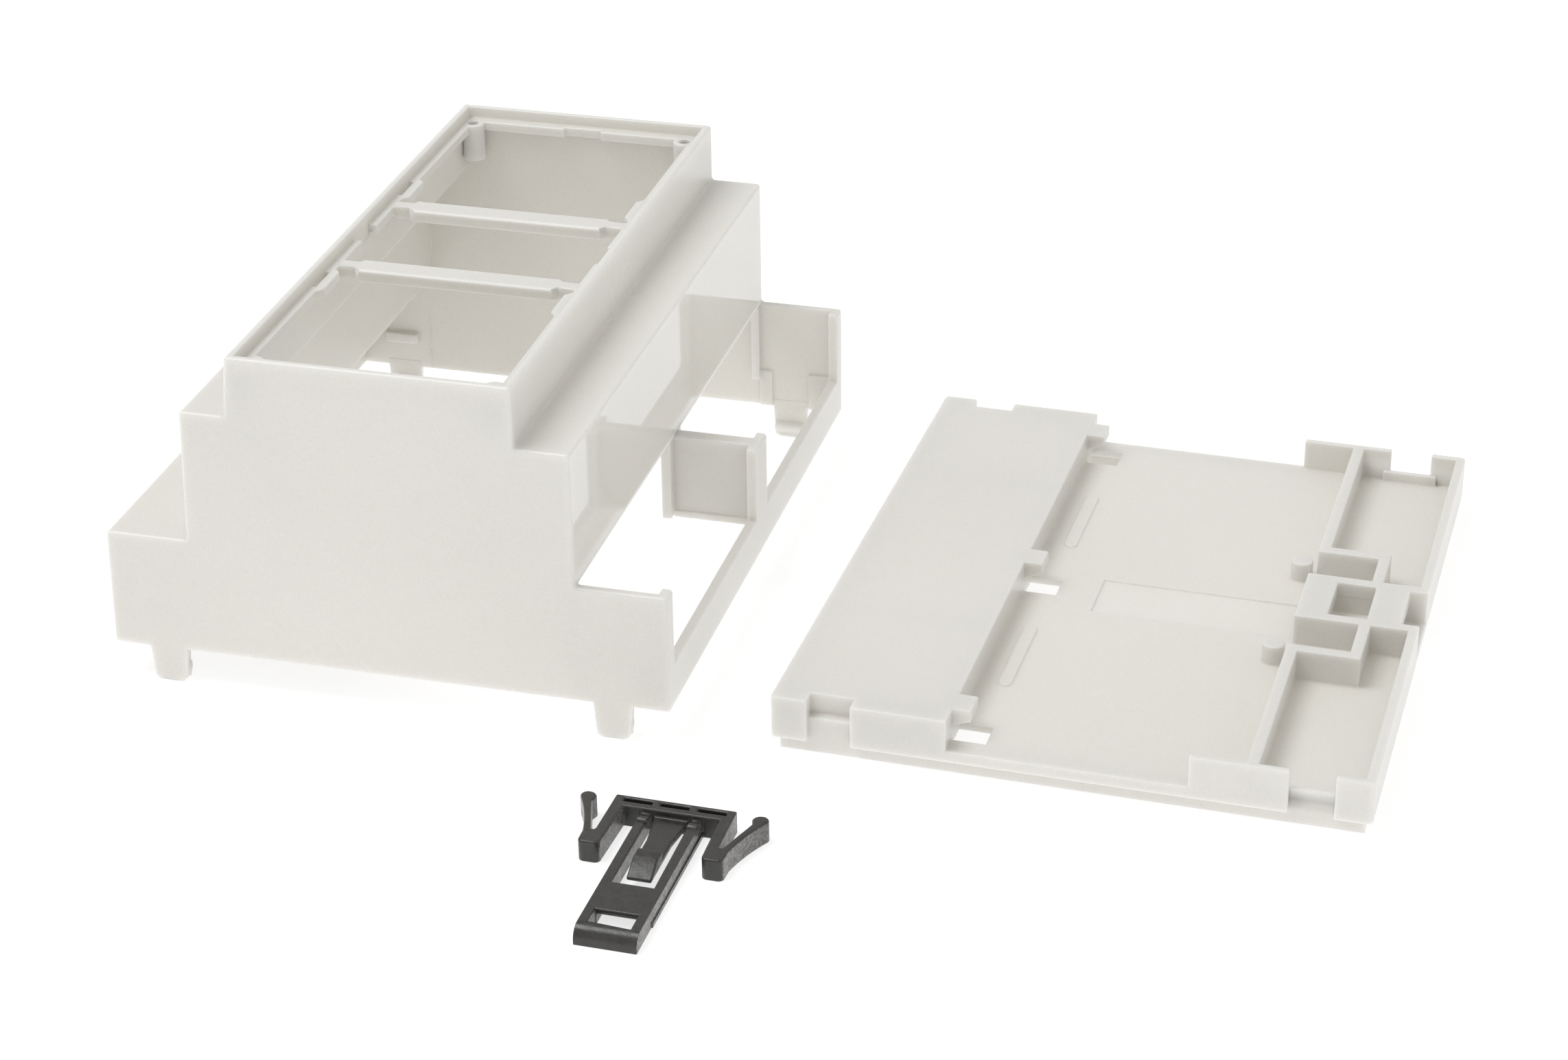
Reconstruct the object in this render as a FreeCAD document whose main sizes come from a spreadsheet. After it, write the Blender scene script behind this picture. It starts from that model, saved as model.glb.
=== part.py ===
import FreeCAD, Part
import Sketcher
import math
import os

# DIN rail enclosure, shown as its three mouldings laid apart:
#   housing     the stepped cover, standing on its snap tabs
#   base_plate  the foot plate, rail side up
#   rail_latch  the sliding rail latch, lying flat
# Frame: +X to the right, +Y away from the viewer, +Z up, the table is z = 0.
# The origin is on the table under the middle of the whole layout.

doc = FreeCAD.newDocument("din_enclosure")
sizes = {
    # Layout of the three pieces on the table
    "plate_gap": 14.79,  # housing's right side to the foot plate
    "plate_back": 2.61,  # the foot plate lies this much farther back
    "plate_yaw": -1.8,  # degrees
    "latch_gap": 6.32,  # housing's right side to the latch's middle line
    "latch_front": 53.08,  # latch tip, in front of the housing
    "latch_yaw": -1.1,  # degrees
    # Common sizes: the kit is six modules wide
    "module_pitch": 17.708,
    "modules": 6,
    "body_depth": 90.0,
    "wall": 1.5,
    # Housing
    "tab_height": 5.8,
    "tread_rise": 19.33,  # wall foot to lower tread
    "shelf_rise": 41.27,  # wall foot to second tread
    "nose_rise": 51.1,  # wall foot to nose rim
    "foot_draft": 0.5,
    "riser_draft": 0.9,
    "lower_tread": 13.7,
    "upper_shelf_end": 21.8,
    "nose_right": 67.25,
    "shoulder_end": 75.75,
    "roof_wall": 1.3,
    "edge_round": 0.6,
    "rim_wall": 1.25,
    "frame_drop": 1.9,  # rim down to the frame ledge
    "frame_thick": 1.6,
    "lip_width": 3.05,  # outer face to ledge lip
    "bar_offset": 12.22,  # cross-bar middle from the housing middle
    "bar_width": 4.3,
    "bar_neck": 2.35,
    "bar_neck_run": 2.6,
    "bar_ramp": 0.9,
    "bar_thick": 2.0,
    "bar_bevel": 0.45,
    "set_back": 6.5,  # length of the ledge set-backs
    "set_back_depth": 1.6,
    "end_set_back": 0.75,  # the shallower ones at both ends
    "pad_reach": 1.0,  # ledge widening beside each bar
    "pad_length": 7.6,
    "slot_length": 5.8,
    "slot_width": 0.85,
    "pad_middle": 18.95,  # widening middle from the housing middle
    "boss_inset": 3.8,
    "boss_dia": 3.8,
    "boss_drop": 6.4,
    "screw_dia": 1.8,
    "screw_depth": 5.6,
    "tab_start": 6.0,
    "tab_width": 6.0,
    "tab_taper": 0.4,
    "tab_thick": 1.6,
    "tab_round": 1.0,
    "barb_reach": 1.0,
    "barb_top": 3.0,
    "barb_foot": 0.9,
    "stop_rise": 5.0,  # stop block above the left tabs
    "stop_high": 1.8,
    "stop_reach": 1.2,
    "foot_band_rise": 6.7,  # thicker feet of the bay's end walls beside the tabs
    "foot_band_proud": 0.4,
    "foot_band_long": 2.1,
    "bar_rise": 6.7,  # outer bar of the terminal bay
    "bay_wall": 1.65,
    "post_wide": 3.3,
    "divider_thick": 2.6,
    "divider_foot": 4.8,  # divider foot above the wall foot
    "divider_post": 6.6,
    "divider_flange": 6.5,
    "bead_high": 1.2,  # bead along the divider's foot
    "bead_proud": 0.3,
    "flange_thick": 1.6,
    "guide_reach": 1.3,
    "guide_wide": 1.4,
    # Foot plate
    "plate_high": 9.27,
    "foot_high": 2.23,
    "foot_inset": 1.15,
    "floor_top": 4.15,
    "floor_thick": 1.3,
    "platform": 27.0,
    "rail_end": 63.1,  # far side of the rail channel
    "plate_end_wall": 1.1,
    "plate_side_wall": 1.5,
    "plate_round": 0.5,
    "notch_start": 5.6,
    "notch_wide": 6.7,
    "notch_deep": 2.7,
    "notch_ledge": 5.9,
    "hook_offset": 47.0,
    "hook_wide": 4.6,
    "hook_reach": 2.9,
    "hook_root": 3.0,
    "hook_nose": 1.9,
    "hook_gap_wide": 4.9,
    "hook_gap_reach": 5.2,
    "rest_offset": 23.0,
    "rest_long": 19.0,
    "rest_wide": 2.1,
    "rest_start": 29.85,
    "rest_high": 0.3,
    "peg_x": 68.9,
    "peg_offset": 13.7,
    "peg_dia": 3.5,
    "peg_high": 3.25,
    "rib_start": 71.3,
    "rib_thick": 1.85,
    "jog_inner": 15.25,  # rib faces round the spring arms, from their middle
    "jog_shift": -1.35,  # that middle, from the plate's middle
    "jog_reach": 11.5,
    "block_start": 70.9,
    "block_half": 7.1,
    "guide_shift": -0.7,  # guide middle, from the plate's middle
    "guide_half": 5.3,
    "guide_start": 38.7,
    "guide_drop": 0.35,
    "bridge_thick": 2.4,
    "block_hole_start": 75.9,
    "block_hole_end": 81.9,
    "tip_gap_start": 87.2,
    "ledge_extra": 1.1,
    "ledge_deep": 2.1,
    # Rail latch
    "latch_high": 3.5,
    "stem_high": 2.7,
    "latch_long": 33.0,
    "head_half": 9.15,
    "head_deep": 2.75,
    "head_corner": 0.3,
    "leg_thick": 1.9,
    "foot_edge": 10.85,
    "foot_front": 19.9,
    "foot_radius": 0.9,
    "crotch_y": 23.6,
    "crotch_x": 9.55,
    "crotch_radius": 0.35,
    "arm_tip_x": 14.25,
    "arm_tip_y": 31.7,
    "stem_half": 4.6,
    "skirt_extra": 0.2,
    "skirt_high": 0.8,
    "skirt_start": 6.6,
    "stem_wall": 1.55,
    "stem_plate": 1.0,
    "window_half": 3.1,
    "window_start": 12.5,
    "tongue_half": 1.85,
    "tongue_root": 2.6,  # half width where it leaves the head
    "tongue_flare": 5.8,  # length of the widening
    "tongue_start": 15.1,
    "tongue_end": 0.5,  # height of its free end
    "tongue_low": 1.3,
    "tongue_thick": 1.05,
    "bump_end": 20.6,
    "bump_top": 18.3,
    "bump_high": 3.4,
    "nub_middle": 28.6,  # small round nubs across the rails
    "nub_long": 1.5,
    "nub_wide": 1.45,
    "nub_high": 0.45,
    "tip_slot_start": 1.95,
    "tip_slot_end": 5.45,
    "tip_round": 2.0,
    "head_slot_long": 4.5,
    "head_slot_wide": 0.8,
    "head_slot_pitch": 5.6,
    "head_slot_edge": 0.65,
    "head_slot_deep": 2.2,
}
sheet = doc.addObject("Spreadsheet::Sheet", "Sizes")
for i, (alias, value) in enumerate(sizes.items(), 1):
    sheet.set("A" + str(i), alias)
    sheet.set("B" + str(i), str(value))
    sheet.setAlias("B" + str(i), alias)
doc.recompute()


def val(alias):
    return float(sheet.get(alias))


# Every alias in an expression gets the sheet's name in front of it
names = list(sizes)


def bind(text):
    out = ""
    word = ""
    for ch in str(text) + " ":
        if ch.isalnum() or ch in "_.":
            word += ch
        else:
            out += ("Sizes." + word) if word in names else word
            out += ch
            word = ""
    return out.strip()


def amount(text):
    known = {n: val(n) for n in names}
    out = ""
    word = ""
    for ch in str(text) + " ":
        if ch.isalnum() or ch in "_.":
            word += ch
        else:
            out += repr(known[word]) if word in known else word
            out += ch
            word = ""
    return reckon(out.strip())


def reckon(text):
    # Plain sums of numbers with + - * / and brackets
    tokens = []
    word = ""
    for ch in text.replace(" ", ""):
        if ch.isdigit() or ch in ".e":
            word += ch
        else:
            if word:
                tokens.append(word)
            word = ""
            tokens.append(ch)
    if word:
        tokens.append(word)

    def term():
        t = tokens.pop(0)
        if t == "-":
            return -term()
        if t == "(":
            v = add()
            tokens.pop(0)
            return v
        return float(t)

    def mul():
        v = term()
        while tokens and tokens[0] in "*/":
            if tokens.pop(0) == "*":
                v *= term()
            else:
                v /= term()
        return v

    def add():
        v = mul()
        while tokens and tokens[0] in "+-":
            if tokens.pop(0) == "+":
                v += mul()
            else:
                v -= mul()
        return v

    return add()


def plane(body, role):
    for f in body.Origin.OriginFeatures:
        if f.Role == role:
            return f


def outline(body, name, role, lift, points, arcs=()):
    # A closed polygon whose corners are all bound to the sheet.
    # points: (u, v) pairs of expressions; lift: plane offset along its normal.
    # arcs: {index: bulge point} turns the edge after that corner into an arc.
    sk = body.newObject("Sketcher::SketchObject", name)
    sk.AttachmentSupport = [(plane(body, role), "")]
    sk.MapMode = "FlatFace"
    sk.AttachmentOffset = FreeCAD.Placement(FreeCAD.Vector(0, 0, amount(lift)), FreeCAD.Rotation())
    sk.setExpression("AttachmentOffset.Base.z", bind(lift))
    arcs = dict(arcs)
    spots = [FreeCAD.Vector(amount(u), amount(v), 0) for u, v in points]
    n = len(spots)
    ends = []
    for i in range(n):
        a = spots[i]
        b = spots[(i + 1) % n]
        if i in arcs:
            c = FreeCAD.Vector(amount(arcs[i][0]), amount(arcs[i][1]), 0)
            disc = Part.Arc(a, c, b).toShape().Curve
            # The arc is stored turning left, whichever way the outline runs
            left = (c - a).cross(b - c).z > 0
            first, last = (a, b) if left else (b, a)
            turn = [math.atan2(q.y - disc.Center.y, q.x - disc.Center.x) for q in (first, last)]
            if turn[1] < turn[0]:
                turn[1] += 2 * math.pi
            ring = Part.Circle(disc.Center, FreeCAD.Vector(0, 0, 1), disc.Radius)
            g = sk.addGeometry(Part.ArcOfCircle(ring, turn[0], turn[1]), False)
            ends.append((g, 1, 2) if left else (g, 2, 1))
        else:
            g = sk.addGeometry(Part.LineSegment(a, b), False)
            ends.append((g, 1, 2))
    for i in range(n):
        g, s, e = ends[i]
        g2, s2, e2 = ends[(i + 1) % n]
        sk.addConstraint(Sketcher.Constraint("Coincident", g, e, g2, s2))
    for i in range(n):
        g, s, e = ends[i]
        for kind, k in (("DistanceX", 0), ("DistanceY", 1)):
            c = sk.addConstraint(Sketcher.Constraint(kind, -1, 1, g, s, spots[i][k]))
            sk.renameConstraint(c, "p" + str(i) + "xy"[k])
            sk.setExpression("Constraints.p" + str(i) + "xy"[k], bind(points[i][k]))
    for i in arcs:
        g = ends[i][0]
        if len(arcs[i]) > 2:
            c = sk.addConstraint(Sketcher.Constraint("Radius", g, sk.Geometry[g].Radius))
            sk.renameConstraint(c, "r" + str(i))
            sk.setExpression("Constraints.r" + str(i), bind(arcs[i][2]))
            continue
        # Other arcs keep their middle point's place beside their first corner
        chord = spots[(i + 1) % n] - spots[i]
        k = 1 if abs(chord.x) > abs(chord.y) else 0
        level = sk.Geometry[g].Center[k]
        c = sk.addConstraint(Sketcher.Constraint(("DistanceX", "DistanceY")[k], -1, 1, g, 3, level))
        sk.renameConstraint(c, "m" + str(i))
        shift = level - spots[i][k]
        sk.setExpression("Constraints.m" + str(i), bind(points[i][k]) + " + " + "%.5f" % shift)
    return sk


def circles(body, name, role, lift, centres, dia):
    sk = body.newObject("Sketcher::SketchObject", name)
    sk.AttachmentSupport = [(plane(body, role), "")]
    sk.MapMode = "FlatFace"
    sk.AttachmentOffset = FreeCAD.Placement(FreeCAD.Vector(0, 0, amount(lift)), FreeCAD.Rotation())
    sk.setExpression("AttachmentOffset.Base.z", bind(lift))
    for i, (u, v) in enumerate(centres):
        spot = FreeCAD.Vector(amount(u), amount(v), 0)
        g = sk.addGeometry(Part.Circle(spot, FreeCAD.Vector(0, 0, 1), amount(dia) / 2), False)
        for kind, k in (("DistanceX", 0), ("DistanceY", 1)):
            c = sk.addConstraint(Sketcher.Constraint(kind, -1, 1, g, 3, spot[k]))
            sk.renameConstraint(c, "c" + str(i) + "xy"[k])
            sk.setExpression("Constraints.c" + str(i) + "xy"[k], bind((u, v)[k]))
        c = sk.addConstraint(Sketcher.Constraint("Diameter", g, amount(dia)))
        sk.renameConstraint(c, "d" + str(i))
        sk.setExpression("Constraints.d" + str(i), bind(dia))
    return sk


def rect(u0, v0, u1, v1):
    return [(u0, v0), (u1, v0), (u1, v1), (u0, v1)]


def grow(body, sketch, length, reverse=False):
    doc.recompute()
    before = body.Shape.Volume if body.Tip else 0.0
    f = body.newObject("PartDesign::Pad", sketch.Name + "_pad")
    f.Profile = sketch
    f.Type = 0
    f.Length = amount(length)
    f.setExpression("Length", bind(length))
    f.Reversed = reverse
    body.Tip = f
    doc.recompute()
    if body.Shape.Volume <= before:
        raise RuntimeError(sketch.Name + " adds nothing")
    return f


def cut(body, sketch, length, reverse=False):
    doc.recompute()
    before = body.Shape.Volume
    f = body.newObject("PartDesign::Pocket", sketch.Name + "_cut")
    f.Profile = sketch
    f.Type = 0
    f.Length = amount(length)
    f.setExpression("Length", bind(length))
    f.Reversed = reverse
    body.Tip = f
    doc.recompute()
    if body.Shape.Volume >= before:
        raise RuntimeError(sketch.Name + " cuts nothing")
    return f


def soften(body, name, pick, radius):
    # Rounds every edge that pick(edge) accepts
    doc.recompute()
    base = body.Tip
    chosen = ["Edge" + str(i + 1) for i, e in enumerate(base.Shape.Edges) if pick(e)]
    f = body.newObject("PartDesign::Fillet", name)
    f.Base = (base, chosen)
    f.Radius = amount(radius)
    f.setExpression("Radius", bind(radius))
    body.Tip = f
    doc.recompute()
    if not f.Shape.isValid() or "Invalid" in f.State:
        raise RuntimeError(name + " fails")
    return f


def mirrored(body, features, name, role, half):
    # Mirrors features in a datum plane parallel to an origin plane
    datum = body.newObject("PartDesign::Plane", name + "_plane")
    datum.AttachmentSupport = [(plane(body, role), "")]
    datum.MapMode = "FlatFace"
    datum.AttachmentOffset = FreeCAD.Placement(FreeCAD.Vector(0, 0, amount(half)), FreeCAD.Rotation())
    datum.setExpression("AttachmentOffset.Base.z", bind(half))
    doc.recompute()
    before = body.Shape.Volume
    m = body.newObject("PartDesign::Mirrored", name)
    m.Originals = features
    m.MirrorPlane = (datum, [""])
    body.Tip = m
    doc.recompute()
    if abs(body.Shape.Volume - before) < 1e-6:
        raise RuntimeError(name + " changes nothing")
    return m


def at_y(e, y):
    return all(abs(v.Point.y - y) < 1e-4 for v in e.Vertexes)


def along(e, k):
    if len(e.Vertexes) < 2:
        return False
    d = e.Vertexes[1].Point - e.Vertexes[0].Point
    return e.Curve.TypeId == "Part::GeomLine" and abs(abs(d[k]) - d.Length) < 1e-6


length = "(module_pitch * modules)"
middle = "(module_pitch * modules / 2)"

# Housing

house = doc.addObject("PartDesign::Body", "housing")
house.Label = "housing"
foot = "tab_height"
tread = "(tab_height + tread_rise)"
shelf = "(tab_height + shelf_rise)"
rim = "(tab_height + nose_rise)"
riser = "(lower_tread + riser_draft)"
nose = "(upper_shelf_end + riser_draft)"
ledge = "(tab_height + nose_rise - frame_drop)"
ledge_low = "(tab_height + nose_rise - frame_drop - frame_thick)"

# Stepped outside, drawn from the end and carried along +Y
shell = outline(house, "stepped_outline", "XZ_Plane", "0", [
    ("0", foot),
    ("foot_draft", tread),
    ("lower_tread", tread),
    (riser, shelf),
    ("upper_shelf_end", shelf),
    (nose, rim),
    ("nose_right", rim),
    ("nose_right", shelf),
    ("shoulder_end", shelf),
    ("shoulder_end", tread),
    ("body_depth", tread),
    ("body_depth", foot),
])
grow(house, shell, length, True)
low = val("tab_height") + 0.01
soften(house, "outer_rounds", lambda e: min(v.Point.z for v in e.Vertexes) > low or (
    max(v.Point.z for v in e.Vertexes) > low and not at_y(e, 1e9) and len(e.Vertexes) == 2
), "edge_round")

# Hollow: the wall follows the steps inside
inner = outline(house, "inner_outline", "XZ_Plane", "-wall", [
    ("wall", "tab_height - 1"),
    ("wall + foot_draft", tread + " - roof_wall"),
    ("lower_tread + wall", tread + " - roof_wall"),
    (riser + " + wall", shelf + " - roof_wall"),
    ("upper_shelf_end + wall", shelf + " - roof_wall"),
    (nose + " + rim_wall", ledge_low),
    ("nose_right - rim_wall", ledge_low),
    ("nose_right - rim_wall", shelf + " - roof_wall"),
    ("shoulder_end - wall", shelf + " - roof_wall"),
    ("shoulder_end - wall", tread + " + 0.2"),
    ("body_depth - bay_wall", tread + " + 0.2"),
    ("body_depth - bay_wall", "tab_height - 1"),
])
cut(house, inner, length + " - 2 * wall", False)

# Terminal bay: the outer wall is a low bar between end posts and the divider post
bay = outline(house, "bay_opening", "XY_Plane", tread + " + 1", rect(
    "body_depth - bay_wall - 0.3", "post_wide", "body_depth + 1", middle + " - divider_post / 2"))
bay_cut = cut(house, bay, "tread_rise + 1 - bar_rise", False)
mirrored(house, [bay_cut], "bay_opening_far", "XZ_Plane", "-" + middle)

# Divider plate with a T flange on its inner edge
plate = outline(house, "divider", "XZ_Plane", "-" + middle + " + divider_thick / 2", [
    ("shoulder_end - 0.2", foot + " + divider_foot"),
    ("body_depth - bay_wall + 0.1", foot + " + divider_foot"),
    ("body_depth - bay_wall + 0.1", tread),
    ("shoulder_end - 0.2", tread),
])
grow(house, plate, "divider_thick", True)
bead = outline(house, "divider_bead", "XZ_Plane", "-" + middle + " + divider_thick / 2 + bead_proud", rect(
    "shoulder_end - 0.2", foot + " + divider_foot",
    "body_depth - bay_wall + 0.1", foot + " + divider_foot + bead_high"))
grow(house, bead, "divider_thick + 2 * bead_proud", True)
flange = outline(house, "divider_flange", "XZ_Plane", "-" + middle + " + divider_flange / 2", [
    ("shoulder_end - 0.1 - flange_thick", foot + " + divider_foot + 0.4"),
    ("shoulder_end - 0.1", foot + " + divider_foot + 0.4"),
    ("shoulder_end - 0.1", tread + " + 0.2"),
    ("shoulder_end - 0.1 - flange_thick", tread + " + 0.2"),
])
grow(house, flange, "divider_flange", True)

# Guide ribs of the same height on both end walls
rib = outline(house, "end_guide", "XZ_Plane", "-wall + 0.1", [
    ("shoulder_end - guide_wide", foot + " + divider_foot + 0.4"),
    ("shoulder_end", foot + " + divider_foot + 0.4"),
    ("shoulder_end", tread + " - 0.6"),
    ("shoulder_end - guide_wide + 0.5", tread + " - 0.6"),
    ("shoulder_end - guide_wide", tread + " - 1.8"),
])
rib_pad = grow(house, rib, "guide_reach + 0.1", True)
mirrored(house, [rib_pad], "end_guide_far", "XZ_Plane", "-" + middle)

# Top frame: the rim stands above a ledge, and the ledge opens into the windows
well = outline(house, "rim_recess", "XY_Plane", rim + " + 1", rect(
    nose + " + rim_wall", "rim_wall", "nose_right - rim_wall", length + " - rim_wall"))
cut(house, well, "frame_drop + 1", False)
window = outline(house, "window", "XY_Plane", ledge + " + 0.5", rect(
    nose + " + lip_width - 0.4", "lip_width", "nose_right - lip_width", length + " - lip_width"))
cut(house, window, "frame_thick + 1", False)
# Set-backs in the middle of the ledge's four sides
near_back = outline(house, "set_back_near", "XY_Plane", ledge + " + 0.5", rect(
    "(" + nose + " + nose_right) / 2 - set_back / 2", "lip_width - end_set_back",
    "(" + nose + " + nose_right) / 2 + set_back / 2", "lip_width + 0.2"))
near_back_cut = cut(house, near_back, "frame_thick + 1", False)
mirrored(house, [near_back_cut], "set_back_far", "XZ_Plane", "-" + middle)
left_back = outline(house, "set_back_left", "XY_Plane", ledge + " + 0.5", rect(
    nose + " + lip_width - 0.4 - set_back_depth + 0.1", middle + " - set_back / 2",
    nose + " + lip_width", middle + " + set_back / 2"))
cut(house, left_back, "frame_thick + 1", False)
right_back = outline(house, "set_back_right", "XY_Plane", ledge + " + 0.5", rect(
    "nose_right - lip_width - 0.2", middle + " - set_back / 2",
    "nose_right - lip_width + set_back_depth - 0.1", middle + " + set_back / 2"))
cut(house, right_back, "frame_thick + 1", False)

# Cross-bars with thin necks at both ends
neck_in = nose + " + lip_width - 0.4"
neck_out = "nose_right - lip_width"
bar_y = "(" + middle + " - bar_offset)"
cross = outline(house, "cross_bar", "XY_Plane", ledge, [
    (neck_in + " - 0.5", bar_y + " - bar_neck / 2"),
    (neck_in + " + bar_neck_run", bar_y + " - bar_neck / 2"),
    (neck_in + " + bar_neck_run + bar_ramp", bar_y + " - bar_width / 2"),
    (neck_out + " - bar_neck_run - bar_ramp", bar_y + " - bar_width / 2"),
    (neck_out + " - bar_neck_run", bar_y + " - bar_neck / 2"),
    (neck_out + " + 0.5", bar_y + " - bar_neck / 2"),
    (neck_out + " + 0.5", bar_y + " + bar_neck / 2"),
    (neck_out + " - bar_neck_run", bar_y + " + bar_neck / 2"),
    (neck_out + " - bar_neck_run - bar_ramp", bar_y + " + bar_width / 2"),
    (neck_in + " + bar_neck_run + bar_ramp", bar_y + " + bar_width / 2"),
    (neck_in + " + bar_neck_run", bar_y + " + bar_neck / 2"),
    (neck_in + " - 0.5", bar_y + " + bar_neck / 2"),
])
cross_pad = grow(house, cross, "bar_thick", True)
bevels = []
for side, way in (("near", " - "), ("far", " + ")):
    edge = bar_y + way + "bar_width / 2"
    back = " + " if way == " - " else " - "
    bevel = outline(house, "bar_bevel_" + side, "YZ_Plane", neck_in + " + bar_neck_run + bar_ramp", [
        (edge + way + "0.1", ledge + " - bar_bevel - 0.1"),
        (edge + back + "(bar_bevel + 0.1)", ledge + " + 0.1"),
        (edge + way + "0.1", ledge + " + 0.1"),
    ])
    bevels.append(cut(house, bevel, neck_out + " - (" + neck_in + ") - 2 * (bar_neck_run + bar_ramp)", True))

# Ledge widenings outside each bar, each with a narrow slot at the rim
pad_y = "(" + middle + " - pad_middle)"
left_pad = outline(house, "ledge_pad_left", "XY_Plane", ledge, [
    (neck_in + " - 0.5", pad_y + " - pad_length / 2 - 0.6"),
    (neck_in, pad_y + " - pad_length / 2 - 0.6"),
    (neck_in + " + pad_reach", pad_y + " - pad_length / 2 + 0.6"),
    (neck_in + " + pad_reach", pad_y + " + pad_length / 2 - 0.6"),
    (neck_in, pad_y + " + pad_length / 2 + 0.6"),
    (neck_in + " - 0.5", pad_y + " + pad_length / 2 + 0.6"),
])
left_pad_f = grow(house, left_pad, "frame_thick", True)
right_pad = outline(house, "ledge_pad_right", "XY_Plane", ledge, [
    (neck_out + " + 0.5", pad_y + " - pad_length / 2 - 0.6"),
    (neck_out + " + 0.5", pad_y + " + pad_length / 2 + 0.6"),
    (neck_out, pad_y + " + pad_length / 2 + 0.6"),
    (neck_out + " - pad_reach", pad_y + " + pad_length / 2 - 0.6"),
    (neck_out + " - pad_reach", pad_y + " - pad_length / 2 + 0.6"),
    (neck_out, pad_y + " - pad_length / 2 - 0.6"),
])
right_pad_f = grow(house, right_pad, "frame_thick", True)
left_slot = outline(house, "rim_slot_left", "XY_Plane", ledge + " + 0.5", rect(
    nose + " + rim_wall", pad_y + " - slot_length / 2",
    nose + " + rim_wall + slot_width", pad_y + " + slot_length / 2"))
left_slot_f = cut(house, left_slot, "frame_thick + 1", False)
right_slot = outline(house, "rim_slot_right", "XY_Plane", ledge + " + 0.5", rect(
    "nose_right - rim_wall - slot_width", pad_y + " - slot_length / 2",
    "nose_right - rim_wall", pad_y + " + slot_length / 2"))
right_slot_f = cut(house, right_slot, "frame_thick + 1", False)
mirrored(house, [cross_pad] + bevels + [left_pad_f, right_pad_f, left_slot_f, right_slot_f], "frame_far",
         "XZ_Plane", "-" + middle)

# Corner bosses hang from the ledge and carry small screw holes
centres = [(nose + " + boss_inset - 1", "boss_inset"), ("nose_right - boss_inset", "boss_inset")]
boss = circles(house, "corner_boss", "XY_Plane", ledge, centres, "boss_dia")
boss_pad = grow(house, boss, "boss_drop", True)
hole = circles(house, "corner_screw", "XY_Plane", ledge + " + 0.5", centres, "screw_dia")
hole_cut = cut(house, hole, "screw_depth + 0.5", False)
mirrored(house, [boss_pad, hole_cut], "corner_boss_far", "XZ_Plane", "-" + middle)

# Thicker feet of the end walls on both sides of the right tabs, and the stop blocks
# above the left tabs
band = outline(house, "foot_band", "XZ_Plane", "-wall + 0.1", rect(
    "shoulder_end - 0.1", foot, "shoulder_end + foot_band_long", foot + " + foot_band_rise"))
band_pad = grow(house, band, "foot_band_proud + 0.1", True)
corner = outline(house, "foot_band_corner", "XZ_Plane", "-wall + 0.1", rect(
    "body_depth - tab_start + 0.4", foot, "body_depth - bay_wall + 0.1", foot + " + foot_band_rise"))
corner_pad = grow(house, corner, "foot_band_proud + 0.1", True)
stop = outline(house, "tab_stop", "XZ_Plane", "-wall + 0.1", rect(
    "tab_start", foot + " + stop_rise", "tab_start + tab_width", foot + " + stop_rise + stop_high"))
stop_pad = grow(house, stop, "stop_reach + 0.1", True)

# Snap tabs: tapered, round-cornered tongues with an inward barb
tabs = []
for side, start in (("left", "tab_start"), ("right", "body_depth - tab_start - tab_width")):
    tab = outline(house, "tab_" + side, "XZ_Plane", "0", [
        (start, foot + " + 1.2"),
        (start, foot),
        (start + " + tab_taper", "tab_round"),
        (start + " + tab_taper + tab_round", "0"),
        (start + " + tab_width - tab_taper - tab_round", "0"),
        (start + " + tab_width - tab_taper", "tab_round"),
        (start + " + tab_width", foot),
        (start + " + tab_width", foot + " + 1.2"),
    ], {
        2: (start + " + tab_taper + tab_round * 0.293", "tab_round * 0.293", "tab_round"),
        4: (start + " + tab_width - tab_taper - tab_round * 0.293", "tab_round * 0.293", "tab_round"),
    })
    tabs.append(grow(house, tab, "tab_thick", True))
    barb = outline(house, "barb_" + side, "YZ_Plane", start + " + tab_taper", [
        ("tab_thick - 0.1", "barb_foot - 0.5"),
        ("tab_thick + barb_reach", "barb_foot + 0.9"),
        ("tab_thick + barb_reach", "barb_top - 0.5"),
        ("tab_thick - 0.1", "barb_top"),
    ])
    tabs.append(grow(house, barb, "tab_width - 2 * tab_taper", False))
mirrored(house, [band_pad, corner_pad, stop_pad] + tabs, "tabs_far", "XZ_Plane", "-" + middle)

# Foot plate

base = doc.addObject("PartDesign::Body", "base_plate")
base.Label = "base_plate"
proud = outline(base, "plate_outline", "XY_Plane", "foot_high", rect("0", "0", "body_depth", length))
grow(base, proud, "plate_high - foot_high", False)
soften(base, "plate_corners", lambda e: along(e, 2), "plate_round + 0.3")
step = outline(base, "plate_foot", "XY_Plane", "0", rect(
    "foot_inset", "foot_inset", "body_depth - foot_inset", length + " - foot_inset"))
grow(base, step, "foot_high + 0.2", False)

# Rail channel, open at both ends, and the recessed floor beyond it
channel = outline(base, "rail_channel", "XY_Plane", "plate_high + 1", rect(
    "platform", "0 - 1", "rail_end", length + " + 1"))
cut(base, channel, "plate_high + 1 - floor_top", False)
tray = outline(base, "tray", "XY_Plane", "plate_high + 1", rect(
    "rail_end - 0.5", "plate_end_wall", "body_depth - plate_side_wall", length + " - plate_end_wall"))
cut(base, tray, "plate_high + 1 - floor_top", False)

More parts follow.
